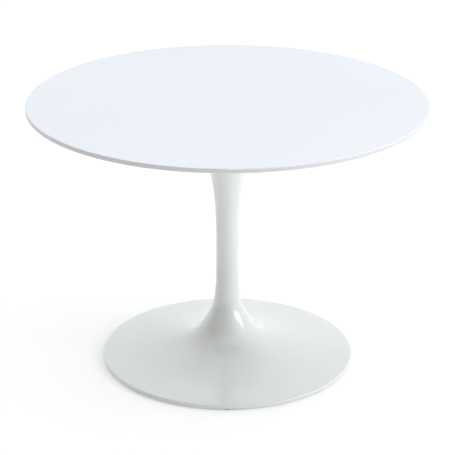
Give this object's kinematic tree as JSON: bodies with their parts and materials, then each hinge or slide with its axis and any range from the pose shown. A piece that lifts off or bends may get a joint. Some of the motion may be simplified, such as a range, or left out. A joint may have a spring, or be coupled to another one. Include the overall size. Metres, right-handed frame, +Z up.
{
  "type": "round pedestal table",
  "caption": "Low round table with a thin-lipped lacquered top on a one-piece trumpet-shaped pedestal, tied by a central rod and weighted by a hidden ballast plate.",
  "frame": {"origin": "centre of the floor under the glide pads, on the column's axis", "axes": "+Z up along the column; the table is round, so +X and +Y are any two level directions at right angles, with glide pads on both"},
  "size_m": [0.6, 0.6, 0.417],
  "materials": {
    "top_lacquer": "satin",
    "insert_brass": "satin",
    "plate_steel": "satin",
    "hub_steel": "satin",
    "screw_zinc": "satin",
    "washer_zinc": "satin",
    "gasket_rubber": "matte",
    "pedestal_lacquer": "gloss",
    "rod_zinc": "satin",
    "ballast_iron": "matte",
    "rod_washer_zinc": "satin",
    "lock_washer_steel": "satin",
    "nut_zinc": "satin",
    "pad_plastic": "matte"
  },
  "bodies": {
    "root": {"tabletop": "top_lacquer", "threaded_inserts": "insert_brass", "mounting_plate": "plate_steel", "plate_hub": "hub_steel", "plate_screws": "screw_zinc", "screw_washers": "washer_zinc", "column_gasket": "gasket_rubber", "pedestal": "pedestal_lacquer", "tie_rod": "rod_zinc", "ballast_plate": "ballast_iron", "rod_washer": "rod_washer_zinc", "rod_lock_washer": "lock_washer_steel", "rod_nut": "nut_zinc", "glide_pad_1": "pad_plastic", "glide_pad_2": "pad_plastic", "glide_pad_3": "pad_plastic", "glide_pad_4": "pad_plastic", "glide_pad_5": "pad_plastic", "glide_pad_6": "pad_plastic", "glide_pad_7": "pad_plastic", "glide_pad_8": "pad_plastic"}
  },
  "joints": []
}
